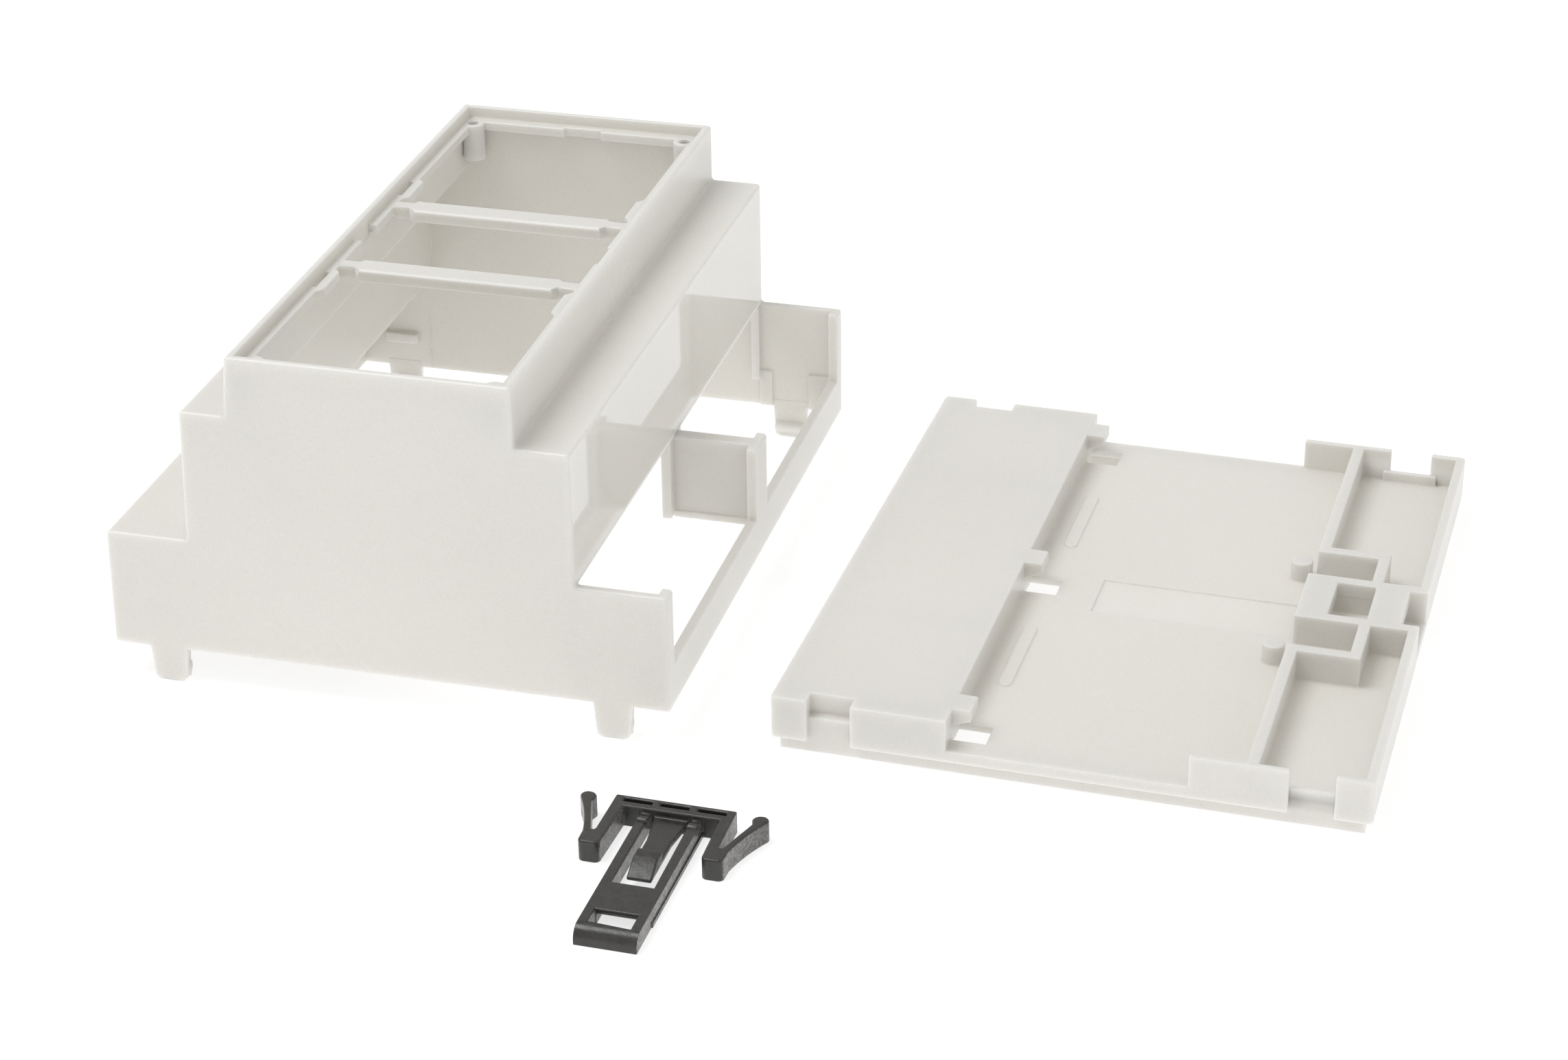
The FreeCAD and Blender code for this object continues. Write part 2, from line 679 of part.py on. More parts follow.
# Hollow underside: shallow under the floor, deep under the platform
under = outline(base, "underside", "XY_Plane", "0 - 1", rect(
    "foot_inset + wall", "foot_inset + wall", "body_depth - foot_inset - wall", length + " - foot_inset - wall"))
cut(base, under, "floor_top - floor_thick + 1", True)
core = outline(base, "platform_core", "XY_Plane", "0 - 1", rect(
    "foot_inset + wall", "notch_deep + wall", "platform - wall", length + " - notch_deep - wall"))
cut(base, core, "plate_high - wall + 1", True)
brace = outline(base, "platform_brace", "XY_Plane", "0.6", [
    ("foot_inset + wall - 0.1", middle + " - 24"),
    ("platform - wall + 0.1", middle + " - 24"),
    ("platform - wall + 0.1", middle + " - 22.8"),
    ("foot_inset + wall - 0.1", middle + " - 22.8"),
])
brace_pad = grow(base, brace, "plate_high - wall - 0.5", False)
mirrored(base, [brace_pad], "platform_brace_far", "XZ_Plane", "-" + middle)

# Fixed rail hooks on the platform's edge, each over its own core opening
hook = outline(base, "rail_hook", "XZ_Plane", "-" + middle + " + hook_offset + hook_wide / 2", [
    ("platform - 0.2", "plate_high - hook_root"),
    ("platform + hook_reach", "plate_high - hook_nose"),
    ("platform + hook_reach", "plate_high"),
    ("platform - 0.2", "plate_high"),
])
hook_pad = grow(base, hook, "hook_wide", True)
gap = outline(base, "hook_opening", "XY_Plane", "floor_top + 1", rect(
    "platform", middle + " - hook_offset - hook_gap_wide / 2",
    "platform + hook_gap_reach", middle + " - hook_offset + hook_gap_wide / 2"))
gap_cut = cut(base, gap, "floor_thick + 2", False)
hooks = base.newObject("PartDesign::LinearPattern", "rail_hooks")
hooks.Originals = [hook_pad, gap_cut]
hooks.Direction = (plane(base, "Y_Axis"), [""])
hooks.Occurrences = 3
hooks.Length = amount("2 * hook_offset")
hooks.setExpression("Length", bind("2 * hook_offset"))
base.Tip = hooks
doc.recompute()

# Rests under the rail: low pads with round ends
rest_low = "(" + middle + " - rest_offset - rest_long / 2)"
rest_top = "(" + middle + " - rest_offset + rest_long / 2)"
rest = outline(base, "rail_rest", "XY_Plane", "floor_top - 0.1", [
    ("rest_start", rest_low + " + rest_wide / 2"),
    ("rest_start + rest_wide", rest_low + " + rest_wide / 2"),
    ("rest_start + rest_wide", rest_top + " - rest_wide / 2"),
    ("rest_start", rest_top + " - rest_wide / 2"),
], {
    0: ("rest_start + rest_wide / 2", rest_low),
    2: ("rest_start + rest_wide / 2", rest_top),
})
rest_pad = grow(base, rest, "rest_high + 0.1", False)
# Spring pegs
peg = circles(base, "spring_peg", "XY_Plane", "floor_top - 0.1", [("peg_x", middle + " - peg_offset")], "peg_dia")
peg_pad = grow(base, peg, "peg_high + 0.1", False)

mirrored(base, [rest_pad, peg_pad], "floor_far", "XZ_Plane", "-" + middle)

# Transverse ribs, each with its jog round the latch arm's end
guide_y = "(" + middle + " + guide_shift)"
jog_y = "(" + middle + " + jog_shift)"
for side, way, wall_y in (("near", " - ", "plate_end_wall - 0.2"), ("far", " + ", length + " - plate_end_wall + 0.2")):
    jog_in = jog_y + way + "jog_inner"
    jog_out = jog_y + way + "(jog_inner + rib_thick)"
    block_y = guide_y + way + "(block_half - 0.2)"
    zig = outline(base, "jogged_rib_" + side, "XY_Plane", "floor_top - 0.1", [
        ("rib_start", wall_y),
        ("rib_start + rib_thick", wall_y),
        ("rib_start + rib_thick", jog_out),
        ("rib_start + jog_reach", jog_out),
        ("rib_start + jog_reach", block_y),
        ("rib_start + jog_reach - rib_thick", block_y),
        ("rib_start + jog_reach - rib_thick", jog_in),
        ("rib_start", jog_in),
    ])
    grow(base, zig, "plate_high - floor_top + 0.1", False)

# Latch guide: a bridge block over a shallow groove
block = outline(base, "bridge_block", "XY_Plane", "floor_top - 0.1", rect(
    "block_start", guide_y + " - block_half", "body_depth - plate_side_wall + 0.2", guide_y + " + block_half"))
grow(base, block, "plate_high - floor_top + 0.1", False)
tunnel = outline(base, "guide_tunnel", "YZ_Plane", "block_start - 1", rect(
    guide_y + " - guide_half", "floor_top", guide_y + " + guide_half", "plate_high - bridge_thick"))
cut(base, tunnel, "body_depth - block_start + 2", True)
groove = outline(base, "guide_groove", "XY_Plane", "floor_top + 0.5", rect(
    "guide_start", guide_y + " - guide_half", "body_depth + 1", guide_y + " + guide_half"))
cut(base, groove, "guide_drop + 0.5", False)
slot = outline(base, "bridge_hole", "XY_Plane", "plate_high + 1", rect(
    "block_hole_start", guide_y + " - guide_half + 0.1", "block_hole_end", guide_y + " + guide_half - 0.1"))
cut(base, slot, "bridge_thick + 2", False)
exit_gap = outline(base, "tip_gap", "XY_Plane", "plate_high + 1", rect(
    "tip_gap_start", guide_y + " - guide_half", "body_depth + 1", guide_y + " + guide_half"))
cut(base, exit_gap, "bridge_thick + 2", False)

# Notches that take the housing's four tabs
notch_cuts = []
for side, start in (("left", "notch_start"), ("right", "body_depth - notch_start - notch_wide")):
    upper = outline(base, "notch_" + side, "XY_Plane", "plate_high + 1", rect(
        start, "0 - 1", start + " + notch_wide", "notch_deep"))
    notch_cuts.append(cut(base, upper, "plate_high + 1 - notch_ledge", False))
    lower = outline(base, "notch_face_" + side, "XY_Plane", "notch_ledge + 0.5", rect(
        start, "0 - 1", start + " + notch_wide", "foot_inset"))
    notch_cuts.append(cut(base, lower, "notch_ledge + 0.5 - foot_high + 0.1", False))
step_block = outline(base, "notch_step", "XY_Plane", "floor_top - 0.1", rect(
    "body_depth - notch_start - notch_wide - ledge_extra", "foot_inset",
    "body_depth - notch_start + ledge_extra", "ledge_deep"))
step_pad = grow(base, step_block, "notch_ledge - floor_top + 0.1", False)
mirrored(base, notch_cuts + [step_pad], "notches_far", "XZ_Plane", "-" + middle)

# Rail latch, drawn to the right of its own middle line and mirrored

latch = doc.addObject("PartDesign::Body", "rail_latch")
latch.Label = "rail_latch"
arm = outline(latch, "head_leg_arm", "XY_Plane", "0", [
    ("0", "latch_long - head_deep"),
    ("head_half - leg_thick", "latch_long - head_deep"),
    ("head_half - leg_thick + 0.3", "foot_front + foot_radius"),
    ("head_half - leg_thick + 0.3 + foot_radius", "foot_front"),
    ("foot_edge - foot_radius", "foot_front"),
    ("foot_edge", "foot_front + foot_radius"),
    ("foot_edge + 0.05", "crotch_y - 0.9"),
    ("arm_tip_x - 0.05", "arm_tip_y - 0.25"),
    ("arm_tip_x - 1.15", "arm_tip_y + 1.1"),
    ("arm_tip_x - 2.5", "arm_tip_y - 0.15"),
    ("arm_tip_x - 2.15", "arm_tip_y - 1.25"),
    ("crotch_x + crotch_radius", "crotch_y"),
    ("crotch_x + crotch_radius * 0.5", "crotch_y - crotch_radius * 0.87"),
    ("crotch_x - crotch_radius * 0.5", "crotch_y - crotch_radius * 0.87"),
    ("crotch_x - crotch_radius", "crotch_y"),
    ("head_half", "latch_long - head_corner"),
    ("head_half - head_corner", "latch_long"),
    ("0", "latch_long"),
], {
    2: ("head_half - leg_thick + 0.3 + foot_radius * 0.293", "foot_front + foot_radius * 0.293"),
    4: ("foot_edge - foot_radius * 0.293", "foot_front + foot_radius * 0.293"),
    6: ("(foot_edge + arm_tip_x) / 2 - 0.3", "(crotch_y + arm_tip_y) / 2 - 0.35"),
    7: ("arm_tip_x - 0.3", "arm_tip_y + 0.75"),
    8: ("arm_tip_x - 2.15", "arm_tip_y + 0.7"),
    15: ("head_half - head_corner * 0.293", "latch_long - head_corner * 0.293", "head_corner"),
})
grow(latch, arm, "latch_high", False)
stem = outline(latch, "stem", "XY_Plane", "0", rect("0", "0", "stem_half", "latch_long - head_deep + 0.2"))
grow(latch, stem, "stem_high", False)
stem_top = val("stem_high")
soften(latch, "tip_round_over", lambda e: (
    along(e, 0) and at_y(e, 0) and abs(e.Vertexes[0].Point.z - stem_top) < 1e-4
), "tip_round")
skirt = outline(latch, "skirt", "XY_Plane", "0", rect(
    "0", "skirt_start", "stem_half + skirt_extra", "latch_long - head_deep + 0.2"))
grow(latch, skirt, "skirt_high", False)
hollow = outline(latch, "stem_channel", "XY_Plane", "0 - 1", rect(
    "0", "tip_slot_start", "stem_half - stem_wall", "latch_long - head_deep"))
cut(latch, hollow, "stem_high - stem_plate + 1", True)
view = outline(latch, "stem_window", "XY_Plane", "stem_high + 1", rect(
    "0", "window_start", "window_half", "latch_long - head_deep"))
cut(latch, view, "stem_high + 2", False)
tip_slot = outline(latch, "tip_slot", "XY_Plane", "stem_high + 1", rect(
    "0", "tip_slot_start", "window_half + 0.05", "tip_slot_end"))
cut(latch, tip_slot, "stem_high + 2", False)
# Sprung tongue with its catch, drawn from the side, and its wider root
tongue_top = "(tongue_low + tongue_thick)"
tongue = outline(latch, "tongue", "YZ_Plane", "0", [
    ("tongue_start", "tongue_low"),
    ("latch_long - head_deep + 0.2", "tongue_low"),
    ("latch_long - head_deep + 0.2", tongue_top),
    ("bump_end", tongue_top),
    ("bump_end", "bump_high"),
    ("bump_top", "bump_high"),
    ("tongue_start", "tongue_low + tongue_end"),
])
grow(latch, tongue, "tongue_half", False)
root = outline(latch, "tongue_root", "XY_Plane", "tongue_low", [
    ("0", "latch_long - head_deep - tongue_flare"),
    ("tongue_half", "latch_long - head_deep - tongue_flare"),
    ("tongue_root", "latch_long - head_deep"),
    ("tongue_root", "latch_long - head_deep + 0.2"),
    ("0", "latch_long - head_deep + 0.2"),
])
grow(latch, root, "tongue_thick", False)
nub = outline(latch, "rail_nub", "YZ_Plane", "stem_half - 0.1 - nub_wide", [
    ("nub_middle - nub_long / 2", "stem_high - 0.2"),
    ("nub_middle + nub_long / 2", "stem_high - 0.2"),
    ("nub_middle + nub_long / 2", "stem_high"),
    ("nub_middle - nub_long / 2", "stem_high"),
], {
    2: ("nub_middle", "stem_high + nub_high"),
})
grow(latch, nub, "nub_wide", False)
slot1 = outline(latch, "head_slot", "XY_Plane", "latch_high + 1", rect(
    "head_slot_pitch - head_slot_long / 2", "latch_long - head_slot_edge - head_slot_wide",
    "head_slot_pitch + head_slot_long / 2", "latch_long - head_slot_edge"))
cut(latch, slot1, "head_slot_deep + 1", False)
slot2 = outline(latch, "head_slot_middle", "XY_Plane", "latch_high + 1", rect(
    "0", "latch_long - head_slot_edge - head_slot_wide",
    "head_slot_long / 2", "latch_long - head_slot_edge"))
cut(latch, slot2, "head_slot_deep + 1", False)
whole = latch.newObject("PartDesign::Mirrored", "other_half")
whole.TransformMode = "Whole shape"
whole.MirrorPlane = (plane(latch, "YZ_Plane"), [""])
latch.Tip = whole
doc.recompute()

# Places on the table, with the origin under the middle of the layout
plate_x = "(body_depth + plate_gap)"
far_right = "(" + plate_x + " + body_depth * cos(plate_yaw) - " + length + " * sin(plate_yaw))"
near_edge = "(stem_half * sin(latch_yaw) - latch_front)"
far_edge = "(plate_back + " + length + " * cos(plate_yaw))"
centre_x = far_right + " / 2"
centre_y = "(" + near_edge + " + " + far_edge + ") / 2"
for piece, yaw, x, y in (
    (house, "0", "0", "0"),
    (base, "plate_yaw", plate_x, "plate_back"),
    (latch, "latch_yaw", "body_depth + latch_gap", "0 - latch_front"),
):
    turn = FreeCAD.Rotation(FreeCAD.Vector(0, 0, 1), amount(yaw))
    piece.Placement = FreeCAD.Placement(FreeCAD.Vector(0, 0, 0), turn)
    piece.setExpression("Placement.Base.x", bind(x + " - " + centre_x))
    piece.setExpression("Placement.Base.y", bind(y + " - " + centre_y))
    if yaw != "0":
        piece.setExpression("Placement.Rotation.Angle", bind(yaw))
doc.recompute()

# Checks before anything is written
for obj in doc.Objects:
    if "Invalid" in obj.State or "Error" in obj.State:
        raise RuntimeError("failed: " + obj.Name)
for piece in (house, base, latch):
    if piece.Shape.isNull() or not piece.Shape.isValid() or len(piece.Shape.Solids) != 1:
        raise RuntimeError("bad shape: " + piece.Label + " " + str(len(piece.Shape.Solids)))

os.makedirs("parts", exist_ok=True)
for piece in (house, base, latch):
    piece.Shape.exportStep("parts/" + piece.Label + ".step")
    box = piece.Shape.BoundBox
    print(piece.Label, round(piece.Shape.Volume, 1), round(box.XLength, 2), round(box.YLength, 2), round(box.ZLength, 2))
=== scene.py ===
import math

import bmesh
import bpy
from mathutils import Matrix, Vector


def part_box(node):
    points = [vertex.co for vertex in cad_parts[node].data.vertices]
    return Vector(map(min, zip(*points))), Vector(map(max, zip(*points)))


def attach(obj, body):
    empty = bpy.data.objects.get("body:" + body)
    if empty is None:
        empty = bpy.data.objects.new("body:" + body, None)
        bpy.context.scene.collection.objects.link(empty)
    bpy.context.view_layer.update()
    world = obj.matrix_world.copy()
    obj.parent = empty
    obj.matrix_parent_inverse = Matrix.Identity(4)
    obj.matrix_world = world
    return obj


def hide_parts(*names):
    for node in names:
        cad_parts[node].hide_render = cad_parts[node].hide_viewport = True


# Three mouldings of a DIN rail enclosure laid out on a white table: the stepped
# housing, the foot plate with its rail side up, and the charcoal rail latch.

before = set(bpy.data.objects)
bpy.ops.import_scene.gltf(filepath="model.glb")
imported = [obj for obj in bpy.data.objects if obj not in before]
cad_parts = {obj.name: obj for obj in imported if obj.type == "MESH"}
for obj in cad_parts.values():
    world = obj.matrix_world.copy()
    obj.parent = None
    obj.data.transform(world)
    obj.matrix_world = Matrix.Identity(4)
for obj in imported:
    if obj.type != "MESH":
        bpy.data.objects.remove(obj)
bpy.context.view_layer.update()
mm = 0.001
print("frame loaded:", sorted(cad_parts))


# Node trees

def addNode(mat, kind, **settings):
    node = mat.node_tree.nodes.new(kind)
    for key, value in settings.items():
        setattr(node, key, value)
    return node


def join(mat, source, target):
    mat.node_tree.links.new(source, target)


def newMaterial(name):
    # The answer is an empty material and the socket that its surface goes into
    mat = bpy.data.materials.new(name)
    mat.use_nodes = True
    mat.node_tree.nodes.clear()
    return mat, addNode(mat, "ShaderNodeOutputMaterial").inputs["Surface"]


def noiseNode(mat, coords, scale, detail, roughness, bend=0.0):
    node = addNode(mat, "ShaderNodeTexNoise")
    node.inputs["Scale"].default_value = scale
    node.inputs["Detail"].default_value = detail
    node.inputs["Roughness"].default_value = roughness
    node.inputs["Distortion"].default_value = bend
    join(mat, coords, node.inputs["Vector"])
    return node.outputs["Fac"]


def rangeNode(mat, source, span, result):
    # Stretches the values within span over result
    node = addNode(mat, "ShaderNodeMapRange")
    for label, value in zip(("From Min", "From Max", "To Min", "To Max"), (*span, *result)):
        node.inputs[label].default_value = value
    join(mat, source, node.inputs["Value"])
    return node.outputs["Result"]


def mathNode(mat, operation, *values):
    node = addNode(mat, "ShaderNodeMath", operation=operation)
    for socket, value in zip(node.inputs, values):
        join(mat, value, socket)
    return node.outputs["Value"]


def mixColour(mat, factor, a, b):
    node = addNode(mat, "ShaderNodeMix", data_type="RGBA")
    join(mat, factor, node.inputs["Factor"])
    for socket, value in ((node.inputs[6], a), (node.inputs[7], b)):
        if isinstance(value, tuple):
            socket.default_value = value
        else:
            join(mat, value, socket)
    return node.outputs[2]


def srgb(red, green, blue):
    def linear(c):
        c /= 255
        return c / 12.92 if c <= 0.04045 else ((c + 0.055) / 1.055) ** 2.4
    return (linear(red), linear(green), linear(blue), 1.0)


# Moulded plastics: the colour drifts slowly over a wall, and a fine spark-eroded
# grain breaks up the shine

lightGrey = {
    "colour": srgb(226, 224, 219),
    "drift": srgb(217, 215, 210),
    "driftScale": 22.0,
    "driftPart": (0.25, 0.55),
    "speckScale": 2600.0,
    "speckPart": 0.45,
    "bend": 2.5,  # breaks up the noise's regular grid, which would beat with the pixels
    "grainScale": 1900.0,
    "grainDepth": 0.014 * mm,
    "grainStrength": 0.3,
    "roughness": (0.27, 0.36),
    "ior": 1.5,
    "glow": 0.75,  # the thin walls let some light through
    "glowDepth": 2.2 * mm,
    "glowTint": (1.0, 0.97, 0.92),
}
polishedRiser = {"roughness": 0.035, "ior": 1.75}  # the riser beside the terminal bay
charcoal = {
    "colour": srgb(44, 43, 42),
    "drift": srgb(56, 54, 52),
    "driftScale": 700.0,
    "driftPart": (0.1, 0.9),
    "speckScale": 3000.0,
    "speckPart": 0.3,
    "bend": 0.0,
    "grainScale": 1300.0,
    "grainDepth": 0.05 * mm,
    "grainStrength": 0.8,
    "roughness": (0.22, 0.42),
    "ior": 1.55,
    "glow": 0.0,
    "sides": srgb(132, 130, 127),  # painted sheen: walls facing left or right are painted paler and speckled, standing in for their grazing reflection of the table
    "sidesTurn": (0.75, 0.95),
    "sidesScale": 2400.0,
    "sidesPart": (0.25, 1.0),
}
narrowSpan = (0.35, 0.65)  # the middle part of a noise, where most of its values lie
wideSpan = (0.3, 0.7)


def mouldedPlastic(name, look, polish=None):
    mat, surface = newMaterial(name)
    shader = addNode(mat, "ShaderNodeBsdfPrincipled")
    join(mat, shader.outputs["BSDF"], surface)
    coords = addNode(mat, "ShaderNodeTexCoord").outputs["Object"]
    drift = noiseNode(mat, coords, look["driftScale"], 3.0, 0.55)
    speck = noiseNode(mat, coords, look["speckScale"], 1.0, 0.5, look["bend"])
    tint = mathNode(mat, "ADD", rangeNode(mat, drift, narrowSpan, look["driftPart"]),
                    rangeNode(mat, speck, wideSpan, (-look["speckPart"], look["speckPart"])))
    base = mixColour(mat, tint, look["colour"], look["drift"])
    # Painted sheen: faces turned left or right get a paler, speckled colour in place of their grazing
    # reflection of the lit table
    if "sides" in look:
        parts = addNode(mat, "ShaderNodeSeparateXYZ")
        join(mat, addNode(mat, "ShaderNodeNewGeometry").outputs["Normal"], parts.inputs[0])
        turned = mathNode(mat, "ABSOLUTE", parts.outputs["X"])
        sheenFacing = rangeNode(mat, turned, look["sidesTurn"], (0.0, 1.0))
        sheenSpeckle = rangeNode(mat, noiseNode(mat, coords, look["sidesScale"], 1.0, 0.5), narrowSpan,
                           look["sidesPart"])
        base = mixColour(mat, mathNode(mat, "MULTIPLY", sheenFacing, sheenSpeckle), base, look["sides"])
    join(mat, base, shader.inputs["Base Color"])
    shader.inputs["IOR"].default_value = look["ior"]
    if look["glow"]:
        shader.inputs["Subsurface Weight"].default_value = look["glow"]
        shader.inputs["Subsurface Radius"].default_value = look["glowTint"]
        shader.inputs["Subsurface Scale"].default_value = look["glowDepth"]
    if polish:
        shader.inputs["Roughness"].default_value = polish["roughness"]
        shader.inputs["IOR"].default_value = polish["ior"]
        return mat
    join(mat, rangeNode(mat, drift, wideSpan, look["roughness"]), shader.inputs["Roughness"])
    bump = addNode(mat, "ShaderNodeBump")
    bump.inputs["Distance"].default_value = look["grainDepth"]
    bump.inputs["Strength"].default_value = look["grainStrength"]
    join(mat, noiseNode(mat, coords, look["grainScale"], 2.0, 0.6, look["bend"]), bump.inputs["Height"])
    join(mat, bump.outputs["Normal"], shader.inputs["Normal"])
    return mat


# Edge rounds: coplanar triangles are merged, and each sharp edge gets the round
# that its two faces have room for

merge = {"distance": 0.002 * mm, "flat": math.radians(0.4), "sharp": math.radians(28)}
sliver = {"fold": math.radians(125), "fork": math.radians(40), "short": 0.15 * mm}  # left unrounded
room = {
    "across": 0.42,  # share of a face's width that a round may take
    "along": 0.85,  # share of an edge's length that its two corners may take
    "least": 0.03 * mm,
    "probes": (0.04, 0.5, 0.96),  # where along an edge the width is measured
    "foot": 0.1 * mm,  # the edges on the table stay crisp
    "evenings": 12,
}
farAway = 1.0
tiny = {"span": 1e-9, "reach": 1e-6, "turn": 1e-4}


def flatRegions(shape):
    # Coplanar faces that touch count as one region; the answer is each face's border edges
    border = {}
    for seed in shape.faces:
        if seed in border:
            continue
        region, stack = {seed}, [seed]
        while stack:
            face = stack.pop()
            for edge in face.edges:
                for other in edge.link_faces:
                    if other not in region and face.normal.angle(other.normal, 0) < merge["flat"] * 2:
                        region.add(other)
                        stack.append(other)
        rim = [e for f in region for e in f.edges if any(o not in region for o in e.link_faces)]
        for face in region:
            border[face] = rim
    return border


def reachAcross(start, along, inward, edge, rim):
    # Distance from a point on the edge straight across the face to its other border
    nearest = farAway
    for other in rim:
        if other is edge:
            continue
        a, b = other.verts[0].co - start, other.verts[1].co - start
        aAlong, bAlong = a.dot(along), b.dot(along)
        if aAlong * bAlong > 0 or abs(aAlong - bAlong) < tiny["span"]:
            continue
        reach = (a.dot(inward) * bAlong - b.dot(inward) * aAlong) / (bAlong - aAlong)
        if tiny["reach"] < reach < nearest:
            nearest = reach
    return nearest


def turnAt(vertex, edge, heading, inward, rim):
    # Tangent of half the border's inward turn at one end of the edge
    best = 0.0
    for other in rim:
        if other is not edge and vertex in other.verts and other.calc_face_angle(0) > merge["sharp"]:
            away = (other.other_vert(vertex).co - vertex.co).normalized()
            if away.dot(inward) > tiny["turn"]:
                best = max(best, math.tan(heading.angle(away, 0) / 2))
    return best


def roomFor(edge, border, width):
    fit = width
    for loop in edge.link_loops:
        first, last = loop.vert, loop.link_loop_next.vert
        along = (last.co - first.co).normalized()
        inward = loop.face.normal.cross(along).normalized()
        rim = border[loop.face]
        for share in room["probes"]:
            probe = first.co.lerp(last.co, share)
            fit = min(fit, room["across"] * reachAcross(probe, along, inward, edge, rim))
        ends = turnAt(first, edge, -along, inward, rim) + turnAt(last, edge, along, inward, rim)
        if ends > tiny["reach"]:
            fit = min(fit, room["along"] * (last.co - first.co).length / ends)
    if max(v.co.z for v in edge.verts) < merge["distance"]:
        fit = min(fit, room["foot"])
    return fit


def forks(edge, fits):
    # True where another rounded edge leaves an end of this one at a narrow angle
    return any((edge.other_vert(v).co - v.co).angle(other.other_vert(v).co - v.co, 3) < sliver["fork"]
               for v in edge.verts for other in v.link_edges if other is not edge and other in fits)


def shareRounds(shape, width):
    layer = shape.edges.layers.float.new("bevel_weight_edge")
    border = flatRegions(shape)
    fits = {}
    for edge in shape.edges:
        if len(edge.link_faces) == 2 and merge["sharp"] < edge.calc_face_angle(0) < sliver["fold"]:
            fit = roomFor(edge, border, width)
            if fit > room["least"]:
                fits[edge] = fit
    for edge in list(fits):
        if edge.calc_length() < sliver["short"] and forks(edge, fits):
            del fits[edge]
    for _ in range(room["evenings"]):  # rounds along one smooth run keep one size
        for edge in fits:
            for vertex in edge.verts:
                heading = (vertex.co - edge.other_vert(vertex).co).normalized()
                for other in vertex.link_edges:
                    if other is not edge and other in fits:
                        if heading.angle(other.other_vert(vertex).co - vertex.co, 3) < merge["sharp"]:
                            fits[edge] = min(fits[edge], fits[other])
    for edge, fit in fits.items():
        edge[layer] = fit / width


# Pieces: each one is its CAD solid with the edge rounds put on

housingLook = {"round": 0.22 * mm, "steps": 3}
footPlateLook = {"round": 0.24 * mm, "steps": 3}
railLatchLook = {"round": 0.34 * mm, "steps": 4}
riser = {"fromLeft": 75.75 * mm, "facing": 0.99, "within": 0.02 * mm}  # the polished wall


def dressedPiece(node, name, mat, look, riserMat=None):
    shape = bmesh.new()
    shape.from_mesh(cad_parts[node].data)
    bmesh.ops.remove_doubles(shape, verts=shape.verts, dist=merge["distance"])
    bmesh.ops.dissolve_limit(shape, angle_limit=merge["flat"], verts=shape.verts,
                             edges=shape.edges, delimit=set())
    shareRounds(shape, look["round"])
    mesh = bpy.data.meshes.new(name)
    shape.to_mesh(mesh)
    shape.free()
    mesh.materials.clear()
    mesh.materials.append(mat)
    for face in mesh.polygons:
        face.use_smooth = True
    if riserMat:
        mesh.materials.append(riserMat)
        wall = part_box(node)[0].x + riser["fromLeft"]
        for face in mesh.polygons:
            if face.normal.x > riser["facing"] and abs(face.center.x - wall) < riser["within"]:
                face.material_index = 1
    piece = bpy.data.objects.new(name, mesh)
    bpy.context.scene.collection.objects.link(piece)
    bevel = piece.modifiers.new("edgeRounds", "BEVEL")
    bevel.width = look["round"]
    bevel.segments = look["steps"]
    bevel.limit_method = "WEIGHT"
    bevel.loop_slide = False
    bevel.use_clamp_overlap = False
    weighted = piece.modifiers.new("evenShading", "WEIGHTED_NORMAL")
    weighted.keep_sharp = True
    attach(piece, "root")
    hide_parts(node)
    return piece


greyShell = mouldedPlastic("lightGreyShell", lightGrey)
greyRiser = mouldedPlastic("lightGreyPolished", lightGrey, polishedRiser)
greyPlate = mouldedPlastic("lightGreyPlate", lightGrey)
# Painted highlight: the witness strips get a paler grey, with no light through them, so they show as a
# bright line
greyPaintedHighlight = mouldedPlastic("lightGreyPaintedHighlight", {**lightGrey, "glow": 0.0, "colour": srgb(244, 243, 240)})
blackLatch = mouldedPlastic("charcoalLatch", charcoal)

housing = dressedPiece("housing", "steppedHousing", greyShell, housingLook, greyRiser)
footPlate = dressedPiece("base_plate", "footPlate", greyPlate, footPlateLook)
latch = dressedPiece("rail_latch", "railLatch", blackLatch, railLatchLook)
print("pieces dressed:", [len(o.data.polygons) for o in (housing, footPlate, latch)])


# Fine witness line of the mould insert, upright on both end walls inside: a thin
# square strip that lies half sunk. Its paler grey is a painted highlight along the ridge

insertLine = {
    "count": 2,
    "fromLeft": 14.3 * mm,
    "low": 6.0 * mm,
    "high": 17.4 * mm,
    "wall": 1.5 * mm,
    "half": 0.05 * mm,
}


